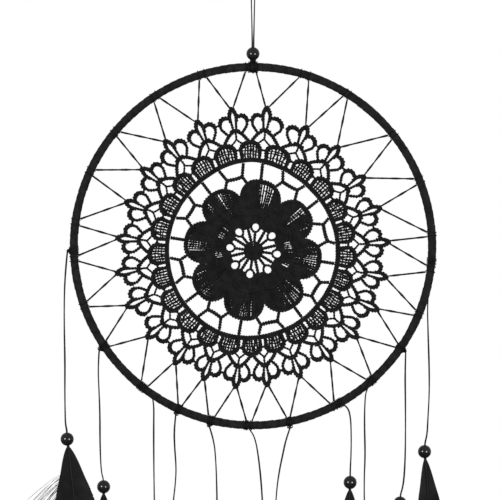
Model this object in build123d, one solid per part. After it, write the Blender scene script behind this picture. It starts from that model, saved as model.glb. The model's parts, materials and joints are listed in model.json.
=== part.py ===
from build123d import *
import os
from math import atan2, cos, degrees, hypot, radians, sin, tan

# A black dream catcher hung from a nail: a wrapped hoop, a crocheted mandala laced into it,
# and eleven cords with a bead and a feather each.  Millimetres, +Z up, X across, front is -Y.
# The origin is inside the top of the hanging loop, where the nail bears.
# Angles round the hoop are clockwise from the top, seen from the front.

# hoop
HOOP_DIAMETER = 215.0  # to the middle of the wire
WIRE_DIAMETER = 3.0
WRAP_THICKNESS = 1.15  # suede ribbon with its overlaps

# hanger
LOOP_DROP = 61.2  # nail to the top of the bead
LOOP_CORD = 0.9
NAIL_BEND = 1.8  # radius of the cord's middle round the nail
PAIR_LENGTH = 5.0  # the two strands lie together above the bead
NECK_HEIGHT = 0.5  # knot between the bead and the lashing
NECK_DIAMETER = 4.2
LASHING_WIDTH = 6.2  # along the hoop
LASHING_THICKNESS = 0.9

# beads
BEAD_DIAMETER = 8.0
BEAD_FLATS = 7.6  # height between the two flattened ends
BEAD_BORE = 2.2

# crocheted mandala
LACE_RADIUS = 83.0  # to the middling picot tip
LACE_THICKNESS = 1.4
LACE_SHIFT = (0.3, -2.8)  # the lacing pulls it a little low
PICOTS = 24
PETALS = 8
RING_RADIUS = 51.8
RING_WIDTH = 2.6
FAN_RADIUS = 6.7
FAN_RISE = 4.0  # from the ring to the middle of a fan
PETAL_RADIUS = 13.9
PETAL_REACH = 42.1
FLOWER_THICKNESS = 2.2
YARN = 1.2
EYE_INNER = 5.8
EYE_OUTER = 13.2
EYE_HOLE = 2.0
BUD_HOLE = 3.2
BUD_RADIUS = 15.4

# lacing
THREAD = 0.8
THREAD_WRAP = 0.8  # how far a turn of thread stands off the hoop
WRAP_HALF_ANGLE = 0.26  # degrees to each side of one thread end

# tails
TAIL_CORD = 0.9
KNOT_THICKNESS = 0.9
QUILL_DIAMETER = 1.8
SHAFT_TIP = 0.6
VANE_THICKNESS = 0.9
BODY_GAP = 0.25  # between pieces that move apart
LASHING_GAP = 0.1  # the hoop rocks in its lashing

hoop_radius = HOOP_DIAMETER / 2
tube_radius = WIRE_DIAMETER / 2 + WRAP_THICKNESS
bead_top = -LOOP_DROP
bead_bottom = bead_top - BEAD_FLATS
lashing_outer = tube_radius + LASHING_GAP + LASHING_THICKNESS
hoop_height = bead_bottom - NECK_HEIGHT - lashing_outer - hoop_radius
hoop_plane = Plane(origin=(0, 0, hoop_height), x_dir=(1, 0, 0), z_dir=(0, -1, 0))

# where the lacing goes: each pair of thread ends on the hoop, then the picot between it and the next
LACING = [
    # ends on the hoop, picot angle, picot pull beyond LACE_RADIUS
    ((-2.9, 2.0), 5.4, 4.6),
    ((15.2, 18.6), 23.3, -1.0),
    ((30.9, 32.7), 39.2, -1.1),
    ((50.6, 52.5), 56.3, -1.8),
    ((67.3, 69.5), 71.3, -1.4),
    ((85.2, 86.6), 86.3, -0.3),
    ((96.9, 98.5), 101.3, -0.2),
    ((111.4, 113.3), 115.4, 1.0),
    ((123.2, 126.0), 129.8, -0.4),
    ((137.4, 139.8), 144.6, -1.1),
    ((152.5, 154.0), 159.8, -1.1),
    ((167.0, 169.8), 174.2, -0.5),
    ((180.0, 181.2), 187.5, 0.8),
    ((192.6, 194.8), 201.3, 1.0),
    ((203.2, 206.0), 215.0, 0.6),
    ((216.8, 219.7), 230.8, 0.4),
    ((234.9, 237.4), 246.3, 1.5),
    ((249.7, 251.7), 260.8, 1.6),
    ((264.6, 266.8), 275.4, 0.4),
    ((276.7, 279.0), 291.0, 0.4),
    ((293.6, 295.9), 306.3, 1.6),
    ((308.8, 310.8), 321.1, 3.1),
    ((325.5, 327.9), 336.3, 3.0),
    ((342.1, 344.7), 351.2, 4.5),
]

# tails: knot angle, half its width in degrees, side of the hoop it leaves (0 outer edge, -90 front,
# 90 back), feather length and width, then the cord's route as (across, up) from its knot
TAILS = [
    (268.6, 1.2, -30, 112, 38,
     [(-1.1, -10.8), (-1.9, -25.2), (-2.0, -44.4), (-1.5, -66.0), (-1.6, -86.0), (-1.4, -98.0),
      (-1.2, -104.0), (-0.2, -108.6), (-0.2, -112.9)]),
    (236.15, 0.8, 30, 110, 30,
     [(-0.8, -10.8), (-0.2, -24.0), (0.4, -38.4), (0.4, -56.4), (1.1, -73.5), (2.6, -78.4), (2.6, -82.6)]),
    (218.25, 1.0, 90, 114, 30,
     [(4.6, -3.4), (7.0, -9.0), (6.8, -25.8), (6.9, -46.8), (7.2, -67.8), (7.4, -88.8), (7.2, -109.8),
      (7.2, -128.0)]),
    (204.6, 0.95, -30, 112, 30,
     [(-1.0, -8.8), (-0.7, -19.0), (0.3, -31.6), (-0.2, -41.2), (-1.6, -52.6), (-1.8, -65.0), (-1.8, -75.0)]),
    (193.7, 0.7, 30, 112, 30,
     [(2.9, -8.4), (4.1, -21.6), (4.7, -40.8), (4.9, -64.8), (5.0, -88.8), (5.3, -111.0), (5.3, -128.0)]),
    (182.3, 0.75, -90, 114, 32,
     [(3.2, -3.0), (5.8, -8.4), (7.5, -18.0), (9.0, -31.2), (10.1, -46.8), (10.6, -67.8), (10.5, -94.8),
      (10.6, -116.0), (10.6, -134.0)]),
    (168.4, 0.95, 30, 110, 30,
     [(-2.5, -7.0), (-4.4, -16.0), (-6.7, -26.8), (-8.4, -40.0), (-9.0, -55.0), (-8.7, -72.0), (-8.7, -97.0)]),
    (151.1, 0.9, 90, 110, 30,
     [(4.8, -1.8), (6.9, -9.0), (7.2, -22.2), (7.0, -33.0), (6.5, -41.0), (6.5, -48.0)]),
    (138.6, 0.75, -90, 112, 30,
     [(-3.4, -5.0), (-4.2, -13.4), (-4.4, -26.6), (-3.9, -44.6), (-4.6, -58.4), (-4.4, -77.6), (-4.5, -101.6),
      (-4.2, -125.6), (-4.2, -155.6)]),
    (124.6, 0.95, -30, 110, 30,
     [(-0.4, -12.3), (-0.2, -27.9), (-0.1, -45.9), (-0.3, -63.9), (-1.0, -76.0), (-1.9, -81.8), (-3.4, -86.6),
      (-3.4, -90.8)]),
    (94.9, 1.1, 90, 108, 24,
     [(-0.6, -11.1), (-2.2, -24.9), (-1.8, -42.3), (-1.1, -62.7), (-1.0, -79.5), (-1.9, -95.1), (-2.3, -104.0),
      (-3.9, -110.2), (-3.9, -114.4)]),
]
VANE_OUTLINE = [  # share of the length, share of the half width; the right vane is the wider one
    (0.10, 0.26), (0.20, 0.47), (0.30, 0.67), (0.50, 0.95), (0.70, 0.97), (0.88, 0.66), (0.97, 0.26),
]
LEFT_SHARE = 0.9
VANE_NECK = 2.4  # width of the vane where it starts
QUILL_BARE = 0.5  # quill showing between the bead and the vane


def clock(angle, radius):
    """Point in the hoop's own plane, from its middle."""
    return radius * sin(radians(angle)), radius * cos(radians(angle))


def on_hoop(angle, radius, depth=0.0):
    """Point in the part's frame; depth is towards the back."""
    x, z = clock(angle, radius)
    return Vector(x, depth, hoop_height + z)


def band(angle, half_angle, inner, outer):
    """Stretch of a tube round the hoop's wire, from one radius to the other."""
    section = Plane.XZ * (Pos(hoop_radius, 0) * (Circle(outer) - Circle(inner)))
    turned = revolve(section, axis=Axis.Z, revolution_arc=2 * half_angle)
    return hoop_plane * (Rot(0, 0, 90 - angle - half_angle) * turned)


def rod(start, end, diameter):
    line = end - start
    return Solid.make_cylinder(diameter / 2, line.length, Plane(origin=start, z_dir=line))


def cord(points, diameter, name):
    """Round tube of straight runs joined by the largest tangent arcs that fit."""
    radii = []
    for before, corner, after in zip(points, points[1:], points[2:]):
        a, b = corner - before, after - corner
        radii.append(0.45 * min(a.length, b.length) / tan(radians(a.get_angle(b) / 2)))
    return tube(points, radii, diameter, name)


def tube(points, radii, diameter, name):
    path = FilletPolyline(*points, radius=radii)
    solid = sweep(Plane(origin=path @ 0, z_dir=path % 0) * Circle(diameter / 2), path=path)
    whole = Circle(diameter / 2).area * path.length
    print(f"{name}: length {path.length:.1f}, smallest radius {min(radii):.1f}, "
          f"volume {solid.volume / whole:.4f} of section times length")
    return solid


# ---- hoop ----


def hoop_wire():
    return hoop_plane * Torus(hoop_radius, WIRE_DIAMETER / 2)


def hoop_wrap():
    return hoop_plane * (Torus(hoop_radius, tube_radius) - Torus(hoop_radius, WIRE_DIAMETER / 2))


# ---- hanger ----


def bead(top, across=0.0, depth=0.0):
    """Round wooden bead with flattened ends and a bore along Z; top is the height of its upper end."""
    ball = Sphere(BEAD_DIAMETER / 2) & Cylinder(BEAD_DIAMETER, BEAD_FLATS)
    return Pos(across, depth, top - BEAD_FLATS / 2) * (ball - Cylinder(BEAD_BORE / 2, BEAD_DIAMETER))


def hanging_loop():
    strand = LOOP_CORD / 2 + 0.02
    crown = LOOP_CORD / 2
    end = bead_bottom + BODY_GAP
    pair_top = bead_top + PAIR_LENGTH
    points = [
        Vector(-strand, 0, end), Vector(-strand, 0, pair_top), Vector(-NAIL_BEND, 0, crown),
        Vector(NAIL_BEND, 0, crown), Vector(strand, 0, pair_top), Vector(strand, 0, end),
    ]
    slack = 5 * PAIR_LENGTH
    return tube(points, [slack, 0.94 * NAIL_BEND, 0.94 * NAIL_BEND, slack], LOOP_CORD, "hanging_loop")


def hanger_knot():
    """Lashing round the hoop, free to rock on it, and the neck that joins it to the bead."""
    inner = tube_radius + LASHING_GAP
    half = LASHING_WIDTH / 2
    lashing = Rot(0, 90, 0) * (Cylinder(lashing_outer, 2 * half) - Cylinder(inner, 2 * half))
    lashing = Pos(0, 0, hoop_height + hoop_radius) * lashing
    foot = bead_bottom - NECK_HEIGHT - LASHING_THICKNESS / 2
    neck = Pos(0, 0, (bead_bottom + foot) / 2) * Cylinder(NECK_DIAMETER / 2, bead_bottom - foot)
    return lashing + neck


# ---- mandala ----


def bar(start, end, width):
    """Straight stretch of yarn lying flat."""
    dx, dy = end[0] - start[0], end[1] - start[1]
    place = Pos(start[0] + dx / 2, start[1] + dy / 2) * Rot(0, 0, degrees(atan2(dy, dx)))
    return place * Rectangle(hypot(dx, dy), width)


def picot(angle, pull):
    """Three-lobed tip with an eye in each side lobe, standing on two legs."""
    reach = LACE_RADIUS + pull
    lobe, eye, tip = 3.2, 1.5, 2.1
    lobe_across, eye_across = 4.4, 5.2
    foot = RING_RADIUS + FAN_RISE + FAN_RADIUS + 4.5
    side = (foot + reach) / 2 - 1.0
    shape = bar(clock(0, foot), clock(0, reach - tip), 2.6 * YARN) + Pos(*clock(0, reach - tip)) * Circle(tip)
    shape += [Pos(x, side) * Circle(lobe) for x in (-lobe_across, lobe_across)]
    shape -= [Pos(x, side) * Circle(eye) for x in (-eye_across, eye_across)]
    fan_top = RING_RADIUS + FAN_RISE + FAN_RADIUS - 0.8
    shape += [bar(clock(0, foot + 1), clock(a, fan_top), YARN) for a in (-6.6, 6.6)]
    return Rot(0, 0, -angle) * shape


def links(angles):
    """Short yarn ties between the side lobes of neighbouring picots."""
    side = (RING_RADIUS + FAN_RISE + FAN_RADIUS + LACE_RADIUS) / 2 + 1.5
    pairs = zip(angles, angles[1:] + [angles[0] + 360])
    return [bar(clock(a + 5.0, side), clock(b - 5.0, side), 1.5 * YARN) for a, b in pairs]


def net():
    """Open mesh between the flower and the ring: a bar on each petal and a loop over each notch."""
    bars = []
    step = 360 / PETALS
    outer = RING_RADIUS - RING_WIDTH / 2 + 0.5
    node, notch = 44.8, 38.5
    for i in range(PETALS):
        petal = 7 + step * i
        bars.append(bar(clock(petal, PETAL_REACH - 1), clock(petal, outer), YARN))
        middle = petal + step / 2
        left, right = clock(middle - 6.3, node), clock(middle + 6.3, node)
        bars.append(bar(left, right, 1.3 * YARN))
        bars += [bar(left, clock(middle - 9, outer), YARN), bar(right, clock(middle + 9, outer), YARN)]
        bars += [bar(left, clock(middle - 10.5, notch), YARN), bar(right, clock(middle + 10.5, notch), YARN)]
    return bars


def flower():
    """Eight round petals with a ring of slots and a ring of small holes round the middle."""
    step = 360 / PETALS
    middle = PETAL_REACH - PETAL_RADIUS
    shape = Circle(middle) + [Pos(*clock(7 + step * i, middle)) * Circle(PETAL_RADIUS) for i in range(PETALS)]
    slots = []
    for i in range(2 * PETALS):
        angle = -4 + step / 2 * i
        slots.append(bar(clock(angle, EYE_INNER), clock(angle, EYE_OUTER), EYE_HOLE))
    buds = [Pos(*clock(7 + step * i, BUD_RADIUS)) * Circle(BUD_HOLE / 2) for i in range(PETALS)]
    return shape - slots - buds


def lace_doily():
    angles = [tip for _, tip, _ in LACING]
    lace = Circle(RING_RADIUS + RING_WIDTH / 2) - Circle(RING_RADIUS - RING_WIDTH / 2)
    between = [(a + b) / 2 for a, b in zip(angles, angles[1:] + [angles[0] + 360])]
    lace += [Pos(*clock(a, RING_RADIUS + FAN_RISE)) * Circle(FAN_RADIUS) for a in between]
    lace -= Circle(RING_RADIUS - RING_WIDTH / 2)
    lace += [picot(tip, pull) for _, tip, pull in LACING]
    lace += links(angles) + net()
    flat = extrude(lace, LACE_THICKNESS / 2, both=True)
    thick = extrude(flower(), FLOWER_THICKNESS / 2, both=True)
    return hoop_plane * Pos(*LACE_SHIFT) * (flat + thick)


def lacing_thread():
    """One thread from picot to picot, with a turn round the hoop at each end of every run."""
    outer = tube_radius + THREAD_WRAP
    pieces = []
    for (ends, tip, pull), (following, _, _) in zip(LACING, LACING[1:] + LACING[:1]):
        x, z = clock(tip, LACE_RADIUS + pull - 1.2)
        eye = Vector(x + LACE_SHIFT[0], 0, hoop_height + z + LACE_SHIFT[1])
        pieces.append(Pos(eye) * Sphere(0.8 * THREAD))
        for end in (ends[1], following[0]):
            start = on_hoop(end, hoop_radius - tube_radius - THREAD_WRAP / 2)
            pieces.append(rod(start, eye, THREAD))
        pieces += [band(end, WRAP_HALF_ANGLE, tube_radius, outer) for end in ends]
    return Part() + pieces


# ---- tails ----


def tail_start(angle, side):
    """Where a tail's cord leaves its knot."""
    reach = tube_radius + KNOT_THICKNESS + BODY_GAP + TAIL_CORD / 2
    radius = hoop_radius + reach * cos(radians(side))
    return on_hoop(angle, radius, reach * sin(radians(side)))


def tail_points(angle, side, route):
    start = tail_start(angle, side)
    return [start] + [start + Vector(across, 0, down) for across, down in route]


def feather(quill_top, length, width):
    """Flat vane with a tapering shaft; the quill sits in the lower half of the bead."""
    drop = BEAD_FLATS / 2
    right = [(x * width / 2, -drop - t * length) for t, x in VANE_OUTLINE]
    left = [(-x * LEFT_SHARE * width / 2, -drop - t * length) for t, x in VANE_OUTLINE]
    neck = VANE_NECK / 2
    top = -drop - QUILL_BARE
    tip = (0, -drop - length)
    outline = Line((-neck, top), (neck, top))
    outline += Spline((neck, top), *right, tip) + Spline(tip, *reversed(left), (-neck, top))
    vane = extrude(Plane.XZ * make_face(outline), VANE_THICKNESS / 2, both=True)
    shaft_length = drop + 0.9 * length
    shaft = Pos(0, 0, -shaft_length / 2) * Cone(SHAFT_TIP, QUILL_DIAMETER / 2, shaft_length)
    quill = Pos(0, 0, -drop / 2) * Cylinder(BEAD_BORE / 2, drop)
    return Pos(quill_top) * (vane + shaft + quill)


def tail(number, angle, half_angle, side, length, width, route):
    points = tail_points(angle, side, route)
    end = points[-1]
    return {
        f"tail_knot_{number}": band(angle, half_angle, tube_radius, tube_radius + KNOT_THICKNESS),
        f"tail_cord_{number}": cord(points, TAIL_CORD, f"tail_cord_{number}"),
        f"tail_bead_{number}": bead(end.Z + BEAD_FLATS / 2, end.X, end.Y),
        f"feather_{number}": feather(end, length, width),
    }


nodes = {
    "hoop_wire": hoop_wire(),
    "hoop_wrap": hoop_wrap(),
    "lace_doily": lace_doily(),
    "lacing_thread": lacing_thread(),
    "hanging_loop": hanging_loop(),
    "hanging_bead": bead(bead_top),
    "hanger_knot": hanger_knot(),
}
for number, values in enumerate(TAILS, 1):
    nodes.update(tail(number, *values))

os.makedirs("parts", exist_ok=True)
for name, solid in nodes.items():
    export_step(solid, f"parts/{name}.step")
    print(name, len(solid.solids()), "solid", round(solid.volume, 1), "mm3")
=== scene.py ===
import json
import random
from math import atan2, cos, degrees, pi, radians, sin

import bmesh
import bpy
import numpy as np
from mathutils import Matrix, Vector


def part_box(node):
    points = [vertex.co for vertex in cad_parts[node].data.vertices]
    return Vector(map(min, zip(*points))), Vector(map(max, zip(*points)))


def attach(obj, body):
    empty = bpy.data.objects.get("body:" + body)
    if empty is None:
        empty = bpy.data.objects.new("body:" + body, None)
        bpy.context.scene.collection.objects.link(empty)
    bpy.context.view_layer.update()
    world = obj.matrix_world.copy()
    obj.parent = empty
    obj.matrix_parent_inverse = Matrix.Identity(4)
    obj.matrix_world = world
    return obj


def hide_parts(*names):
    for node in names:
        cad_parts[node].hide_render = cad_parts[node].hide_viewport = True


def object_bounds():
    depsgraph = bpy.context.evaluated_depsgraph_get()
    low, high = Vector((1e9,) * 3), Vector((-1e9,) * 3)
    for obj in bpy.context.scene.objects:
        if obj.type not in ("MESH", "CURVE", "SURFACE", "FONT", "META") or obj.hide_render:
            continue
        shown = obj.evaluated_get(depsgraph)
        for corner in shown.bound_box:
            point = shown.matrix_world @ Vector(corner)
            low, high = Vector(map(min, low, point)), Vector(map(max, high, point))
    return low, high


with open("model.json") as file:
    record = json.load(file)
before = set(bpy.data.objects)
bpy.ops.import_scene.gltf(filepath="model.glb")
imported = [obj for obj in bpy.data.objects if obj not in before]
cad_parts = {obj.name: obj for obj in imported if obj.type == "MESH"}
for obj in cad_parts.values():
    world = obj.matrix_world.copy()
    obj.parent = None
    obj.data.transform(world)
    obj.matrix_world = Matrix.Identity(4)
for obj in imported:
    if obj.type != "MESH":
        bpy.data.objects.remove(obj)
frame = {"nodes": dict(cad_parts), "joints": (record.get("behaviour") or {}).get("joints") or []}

cadBounds = [list(corner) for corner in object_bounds()]
mm = 0.001
dice = random.Random(11)

# the hoop's own measures, read from the frame
wireLow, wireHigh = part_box("hoop_wire")
wrapLow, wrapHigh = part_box("hoop_wrap")
wireRadius = (wireHigh[1] - wireLow[1]) / 2
tubeRadius = (wrapHigh[1] - wrapLow[1]) / 2
hoopRadius = (wireHigh[0] - wireLow[0]) / 2 - wireRadius
hoopMiddle = Vector(((wireLow[0] + wireHigh[0]) / 2, 0, (wireLow[2] + wireHigh[2]) / 2))
tailCount = sum(name.startswith("feather_") for name in frame["nodes"])
print("frame: hoop radius", round(hoopRadius / mm, 1), "tube", round(tubeRadius / mm, 2), "tails", tailCount)


# ---- helpers ----

def clock(angle, radius, depth=0.0):  # a place on the hoop, degrees clockwise from the top
    turn = radians(angle)
    return hoopMiddle + Vector((radius * sin(turn), depth, radius * cos(turn)))


def roundTube(angle, lift, around):  # a place on the tube's skin; around 0 is the inner edge, 90 the front
    turn = radians(around)
    reach = tubeRadius + lift
    return clock(angle, hoopRadius - reach * cos(turn), -reach * sin(turn))


def smoothLine(points, step, closed=False):  # a soft line through the points, evenly stepped
    pts = np.array([tuple(p) for p in points], float)
    count = len(pts)
    spans = count if closed else count - 1
    line = []
    for i in range(spans):
        if closed:
            a, b, c, d = (pts[(i + k) % count] for k in (-1, 0, 1, 2))
        else:
            b, c = pts[i], pts[i + 1]
            a = pts[i - 1] if i else 2 * b - c
            d = pts[i + 2] if i + 2 < count else 2 * c - b
        pieces = max(2, int(np.linalg.norm(c - b) / step * 2))
        for t in np.arange(pieces) / pieces:
            line.append(0.5 * (2 * b + (c - a) * t + (2 * a - 5 * b + 4 * c - d) * t * t
                               + (3 * b - a - 3 * c + d) * t ** 3))
    if not closed:
        line.append(pts[-1])
    line = np.array(line)
    loop = np.vstack([line, line[:1]]) if closed else line
    travel = np.concatenate([[0], np.cumsum(np.linalg.norm(np.diff(loop, axis=0), axis=1))])
    number = max(3, int(round(travel[-1] / step)))
    stops = np.arange(number) / number * travel[-1] if closed else np.linspace(0, travel[-1], number + 1)
    return [Vector([np.interp(s, travel, loop[:, k]) for k in range(3)]) for s in stops]


def sectionCurve(name, width, thickness, sides, lobes=0.0):  # cross-section of a yarn or a cord
    data = bpy.data.curves.new(name, "CURVE")
    data.dimensions = "2D"
    spline = data.splines.new("POLY")
    spline.points.add(sides - 1)
    for i, point in enumerate(spline.points):
        turn = 2 * pi * i / sides
        reach = 1 + lobes * cos(2 * turn)
        point.co = (width / 2 * reach * cos(turn), thickness / 2 * reach * sin(turn), 0, 1)
    spline.use_cyclic_u = True
    section = bpy.data.objects.new(name, data)
    bpy.context.scene.collection.objects.link(section)
    section.hide_render = True
    section.hide_set(True)
    return section


def newSpool(name, section):  # a curve that many lengths of yarn are laid on
    data = bpy.data.curves.new(name, "CURVE")
    data.dimensions = "3D"
    data.twist_mode = "MINIMUM"
    data.bevel_mode = "OBJECT"
    data.bevel_object = section
    data.use_fill_caps = True
    return data


def layYarn(spool, points, look, closed=False, size=1.0):
    line = smoothLine(points, look["step"], closed)
    spline = spool.splines.new("POLY")
    spline.points.add(len(line) - 1)
    spline.use_cyclic_u = closed
    start = dice.random() * 6
    total = len(line) * look["step"]
    turns = total * 2 * pi / look["twist"]
    if closed:
        turns = round(turns / pi) * pi
    for i, (point, place) in enumerate(zip(spline.points, line)):
        travel = i * look["step"]
        point.co = (*place, 1)
        point.tilt = start + turns * i / len(line)
        point.radius = size * (1 + look["bump"] * cos(2 * pi * travel / look["stitch"] + start))


def spoolToMesh(spool, name):
    carrier = bpy.data.objects.new(name + "Curve", spool)
    bpy.context.scene.collection.objects.link(carrier)
    bpy.context.view_layer.update()
    mesh = bpy.data.meshes.new_from_object(carrier.evaluated_get(bpy.context.evaluated_depsgraph_get()))
    bpy.data.objects.remove(carrier)
    mesh.name = name
    piece = bpy.data.objects.new(name, mesh)
    bpy.context.scene.collection.objects.link(piece)
    return piece


def fromBmesh(bm, name):
    mesh = bpy.data.meshes.new(name)
    bm.to_mesh(mesh)
    bm.free()
    piece = bpy.data.objects.new(name, mesh)
    bpy.context.scene.collection.objects.link(piece)
    return piece


def finishPiece(piece, body, material, slot, *nodes):
    piece.data.materials.clear()
    piece.data.materials.append(material)
    if piece.type == "MESH":
        piece.data.polygons.foreach_set("use_smooth", [True] * len(piece.data.polygons))
    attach(piece, body)
    if nodes:
        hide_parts(*nodes)


# ---- camera and studio ----

cameraSet = {"distance": 1.6, "viewWidth": 0.3, "across": -0.0018, "below": -0.0023, "sensor": 36.0}


def placeCamera():
    data = bpy.data.cameras.new("camera")
    data.sensor_width = cameraSet["sensor"]
    data.lens = cameraSet["sensor"] * cameraSet["distance"] / cameraSet["viewWidth"]
    data.clip_end = 20
    camera = bpy.data.objects.new("camera", data)
    camera.location = hoopMiddle + Vector((cameraSet["across"], -cameraSet["distance"], cameraSet["below"]))
    camera.rotation_euler = (pi / 2, 0, 0)
    bpy.context.scene.collection.objects.link(camera)
    bpy.context.scene.camera = camera


studioSet = {"floorDrop": 0.06, "floorSize": 1.1, "floorShade": 0.2, "worldLight": 1.0, "boxAngle": 37.0,
             "boxRise": 0.08, "boxDistance": 1.5, "boxSize": 0.42, "boxPower": 26.0}


def softBox(name, side):
    data = bpy.data.lights.new(name, "AREA")
    data.shape = "SQUARE"
    data.size = studioSet["boxSize"]
    data.energy = studioSet["boxPower"]
    light = bpy.data.objects.new(name, data)
    turn = radians(side * studioSet["boxAngle"])
    distance = studioSet["boxDistance"]
    rise = -side * studioSet["boxRise"]
    light.location = hoopMiddle + Vector((distance * sin(turn), -distance * cos(turn), rise))
    light.rotation_euler = (hoopMiddle - light.location).to_track_quat("-Z", "Y").to_euler()
    bpy.context.scene.collection.objects.link(light)


def placeStudio():
    world = bpy.data.worlds.new("studio")
    world.use_nodes = True
    world.node_tree.nodes["Background"].inputs["Color"].default_value = (1, 1, 1, 1)
    world.node_tree.nodes["Background"].inputs["Strength"].default_value = studioSet["worldLight"]
    bpy.context.scene.world = world
    bpy.context.scene.view_settings.view_transform = "Standard"
    softBox("boxLeft", -1)
    softBox("boxRight", 1)
    bm = bmesh.new()
    bmesh.ops.create_grid(bm, x_segments=1, y_segments=1, size=studioSet["floorSize"],
                          matrix=Matrix.Translation((0, 0, cadBounds[0][2] - studioSet["floorDrop"])))
    floor = fromBmesh(bm, "floor")
    matt = bpy.data.materials.new("mattFloor")
    matt.use_nodes = True
    skin = matt.node_tree.nodes["Principled BSDF"]
    skin.inputs["Base Color"].default_value = (*[studioSet["floorShade"]] * 3, 1)
    skin.inputs["Roughness"].default_value = 1.0
    skin.inputs["Specular IOR Level"].default_value = 0.0
    floor.data.materials.append(matt)


# ---- materials ----

def buildFibreGroup():  # fine fibres: a height for Bump and a soft colour mask
    group = bpy.data.node_groups.new("fibreGrain", "ShaderNodeTree")
    group.interface.new_socket("Scale", in_out="INPUT", socket_type="NodeSocketFloat")
    group.interface.new_socket("Stretch", in_out="INPUT", socket_type="NodeSocketFloat")
    group.interface.new_socket("Height", in_out="OUTPUT", socket_type="NodeSocketFloat")
    group.interface.new_socket("Mask", in_out="OUTPUT", socket_type="NodeSocketFloat")
    nodes, links = group.nodes, group.links
    entry, leave = nodes.new("NodeGroupInput"), nodes.new("NodeGroupOutput")
    place = nodes.new("ShaderNodeTexCoord")
    fine = nodes.new("ShaderNodeTexNoise")
    fine.inputs["Detail"].default_value = 4
    fine.inputs["Roughness"].default_value = 0.65
    broad = nodes.new("ShaderNodeTexNoise")
    broad.inputs["Detail"].default_value = 2
    stretch = nodes.new("ShaderNodeVectorMath")
    stretch.operation = "MULTIPLY"
    spread = nodes.new("ShaderNodeCombineXYZ")
    spread.inputs["X"].default_value = 1
    spread.inputs["Y"].default_value = 1
    shrink = nodes.new("ShaderNodeMath")
    shrink.operation = "MULTIPLY"
    shrink.inputs[1].default_value = 0.09
    links.new(entry.outputs["Stretch"], spread.inputs["Z"])
    links.new(place.outputs["Object"], stretch.inputs[0])
    links.new(spread.outputs["Vector"], stretch.inputs[1])
    links.new(stretch.outputs["Vector"], fine.inputs["Vector"])
    links.new(place.outputs["Object"], broad.inputs["Vector"])
    links.new(entry.outputs["Scale"], fine.inputs["Scale"])
    links.new(entry.outputs["Scale"], shrink.inputs[0])
    links.new(shrink.outputs["Value"], broad.inputs["Scale"])
    links.new(fine.outputs["Fac"], leave.inputs["Height"])
    links.new(broad.outputs["Fac"], leave.inputs["Mask"])
    return group


fibreGroup = buildFibreGroup()

finishes = {
    "crochetCotton": {"dark": (0.0022, 0.0022, 0.0024), "light": (0.0060, 0.0060, 0.0062), "scale": 2600.0,
                      "stretch": 1.0, "bump": 0.5, "depth": 0.0003, "rough": 0.85, "specular": 0.06,
                      "sheen": 0.0},
    "suedeRibbon": {"dark": (0.0026, 0.0026, 0.0026), "light": (0.0074, 0.0072, 0.0071), "scale": 3400.0,
                    "stretch": 1.0, "bump": 0.4, "depth": 0.00025, "rough": 0.9, "specular": 0.06,
                    "sheen": 0.02},
    "waxedThread": {"dark": (0.0015, 0.0015, 0.0015), "light": (0.0036, 0.0036, 0.0036), "scale": 3000.0,
                    "stretch": 0.4, "bump": 0.3, "depth": 0.0002, "rough": 0.6, "specular": 0.06,
                    "sheen": 0.0},
    "featherBarb": {"dark": (0.0014, 0.0014, 0.0015), "light": (0.0050, 0.0050, 0.0052), "scale": 1500.0,
                    "stretch": 0.2, "bump": 0.3, "depth": 0.0002, "rough": 0.55, "specular": 0.06,
                    "sheen": 0.0},
    "featherShaft": {"dark": (0.0016, 0.0016, 0.0016), "light": (0.0040, 0.0040, 0.0040), "scale": 900.0,
                     "stretch": 0.1, "bump": 0.15, "depth": 0.0002, "rough": 0.45, "specular": 0.06,
                     "sheen": 0.0},
}


def fibreMaterial(name):
    look = finishes[name]
    material = bpy.data.materials.new(name)
    material.use_nodes = True
    nodes, links = material.node_tree.nodes, material.node_tree.links
    shader = nodes["Principled BSDF"]
    fibre = nodes.new("ShaderNodeGroup")
    fibre.node_tree = fibreGroup
    fibre.inputs["Scale"].default_value = look["scale"]
    fibre.inputs["Stretch"].default_value = look["stretch"]
    ramp = nodes.new("ShaderNodeValToRGB")
    ramp.color_ramp.elements[0].position = 0.3
    ramp.color_ramp.elements[0].color = (*look["dark"], 1)
    ramp.color_ramp.elements[1].position = 0.72
    ramp.color_ramp.elements[1].color = (*look["light"], 1)
    bump = nodes.new("ShaderNodeBump")
    bump.inputs["Strength"].default_value = look["bump"]
    bump.inputs["Distance"].default_value = look["depth"]
    links.new(fibre.outputs["Mask"], ramp.inputs["Fac"])
    links.new(ramp.outputs["Color"], shader.inputs["Base Color"])
    links.new(fibre.outputs["Height"], bump.inputs["Height"])
    links.new(bump.outputs["Normal"], shader.inputs["Normal"])
    shader.inputs["Roughness"].default_value = look["rough"]
    shader.inputs["Specular IOR Level"].default_value = look["specular"]
    shader.inputs["Sheen Weight"].default_value = look["sheen"]
    shader.inputs["Sheen Roughness"].default_value = 0.4
    return material


lacquerSet = {"rough": 0.3, "specular": 0.02, "coat": 0.42, "coatRough": 0.03, "grain": 2200, "stretch": 0.08,
              "dark": (0.001, 0.001, 0.001), "light": (0.0035, 0.0032, 0.0032), "bump": 0.08, "depth": 0.0002}


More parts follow.
